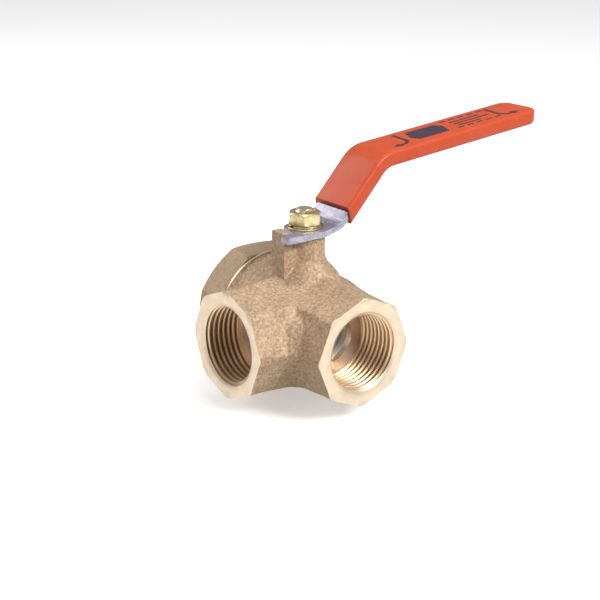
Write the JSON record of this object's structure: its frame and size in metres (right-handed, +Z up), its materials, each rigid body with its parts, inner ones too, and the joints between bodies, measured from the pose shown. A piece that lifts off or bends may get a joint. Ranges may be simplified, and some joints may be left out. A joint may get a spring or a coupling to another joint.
{
  "type": "three way ball valve",
  "caption": "Three way bronze ball valve with a threaded T body, screwed end cap, L way ball and a dog-leg lever in an orange vinyl sleeve that turns a quarter turn.",
  "frame": {"origin": "centre of the branch port's face; the centre of the ball is 38 mm along +Y from it", "axes": "+X out of the run port cast in the body, -X out of the end cap's port, -Y out of the branch port, +Z up the stem"},
  "size_m": [0.076, 0.1585, 0.1048],
  "materials": {
    "cast_bronze": "sand cast, matt and mottled",
    "machined_bronze": "turned, satin",
    "chromed_ball": "polished chrome plate",
    "brass_stem": "turned, bright",
    "ptfe": "smooth, waxy",
    "zinc_plated_steel": "bright zinc plate",
    "yellow_plated_steel": "yellow passivated zinc",
    "orange_vinyl": "satin dipped vinyl",
    "dark_print": "flat printed ink"
  },
  "bodies": {
    "valve_body": {"body_casting": "cast_bronze", "end_cap": "machined_bronze", "cap_gasket": "ptfe", "ball_seat_run_side": "ptfe", "ball_seat_cap_side": "ptfe", "stem_thrust_washer": "ptfe", "packing_ring_lower": "ptfe", "packing_ring_middle": "ptfe", "packing_ring_upper": "ptfe", "gland_bush": "brass_stem", "gland_nut": "brass_stem"},
    "lever_and_stem": {"stem": "brass_stem", "lever": "zinc_plated_steel", "vinyl_sleeve": "orange_vinyl", "flat_washer": "yellow_plated_steel", "spring_washer": "yellow_plated_steel", "lever_nut": "yellow_plated_steel", "grip_mark_near_arrow": "dark_print", "grip_mark_far_arrow": "dark_print", "grip_mark_panel": "dark_print", "grip_mark_dashes": "dark_print"},
    "ball": {"ball": "chromed_ball"}
  },
  "joints": [
    {"name": "lever_turn", "type": "hinge", "parent": "valve_body", "child": "lever_and_stem", "pos_m": [0, 0.038, 0.039], "axis": [0, 0, 1], "range_deg": [0, 90]},
    {"name": "ball_turn", "type": "hinge", "parent": "valve_body", "child": "ball", "pos_m": [0, 0.038, 0], "axis": [0, 0, 1], "range_deg": [0, 90]}
  ],
  "couplings": [
    {"joint": "ball_turn", "follows": "lever_turn", "ratio": 1}
  ]
}
